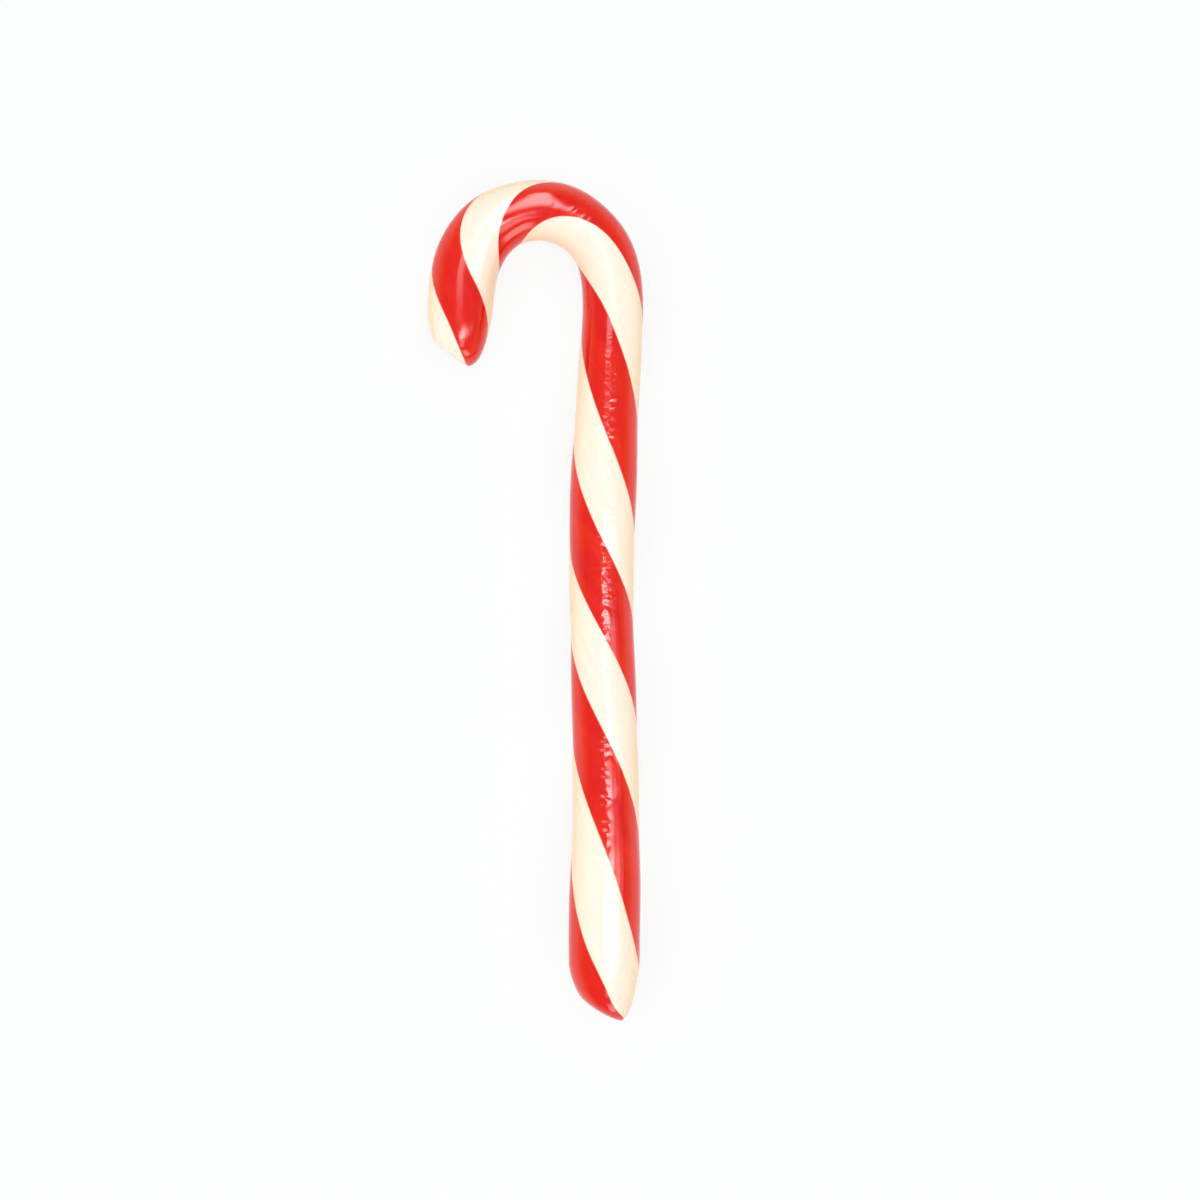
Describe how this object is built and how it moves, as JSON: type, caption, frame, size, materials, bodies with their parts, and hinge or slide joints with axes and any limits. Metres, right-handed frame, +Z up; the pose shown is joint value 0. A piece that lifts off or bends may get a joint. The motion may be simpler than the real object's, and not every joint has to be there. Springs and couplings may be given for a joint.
{
  "type": "candy cane",
  "caption": "Striped boiled-sugar candy cane lying flat: a round, slightly bowed stick bent over into a crook, with twisted stripes and slanted, snipped ends.",
  "frame": {"origin": "middle of the cane's bounding box, on the surface it lies on", "axes": "+Y along the stick from its foot towards the crook, -X the side the crook's end hangs on, +Z up from the surface"},
  "size_m": [0.039, 0.1526, 0.0127],
  "materials": {
    "boiled_sugar": "gloss"
  },
  "bodies": {
    "root": {"candy_cane": "boiled_sugar"}
  },
  "joints": []
}
